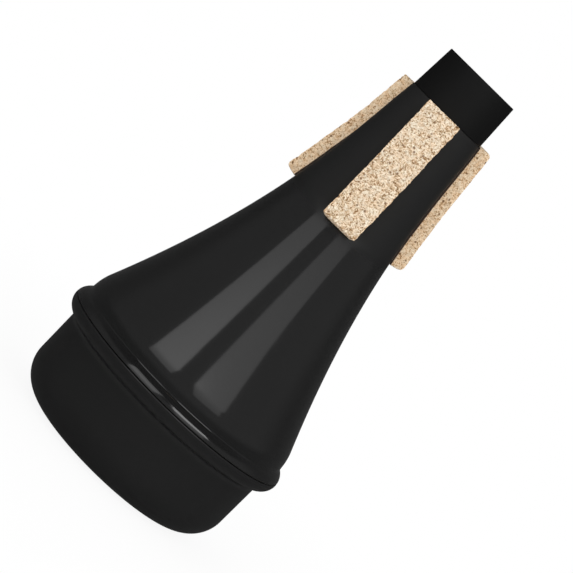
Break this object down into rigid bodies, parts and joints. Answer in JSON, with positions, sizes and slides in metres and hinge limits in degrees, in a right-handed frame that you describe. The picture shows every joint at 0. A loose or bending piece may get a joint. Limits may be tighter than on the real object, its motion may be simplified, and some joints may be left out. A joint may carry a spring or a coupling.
{
  "type": "trumpet mute",
  "caption": "Hollow moulded cone with a capped, beaded wide end, a short open neck tube and cork strips that wedge it into a trumpet's bell.",
  "frame": {"origin": "centre of the flat base, on which the mute stands", "axes": "+Z along the mute's axis from the base to the open neck; -Y towards the front cork strip; +X completes the right-handed frame"},
  "size_m": [0.0912, 0.0912, 0.175],
  "materials": {
    "gloss_black_shell": "polished injection-moulded black plastic",
    "satin_black_cap": "moulded black plastic with a softer gloss than the shell",
    "matt_black_tube": "fine matt black",
    "pressed_cork": null,
    "dark_adhesive": "dark double-sided adhesive pad"
  },
  "bodies": {
    "root": {"neck_tube": "matt_black_tube", "body_shell": "gloss_black_shell", "base_cap": "satin_black_cap", "cork_adhesive_front": "dark_adhesive", "cork_strip_front": "pressed_cork", "cork_adhesive_right": "dark_adhesive", "cork_strip_right": "pressed_cork", "cork_adhesive_left": "dark_adhesive", "cork_strip_left": "pressed_cork"}
  },
  "joints": []
}
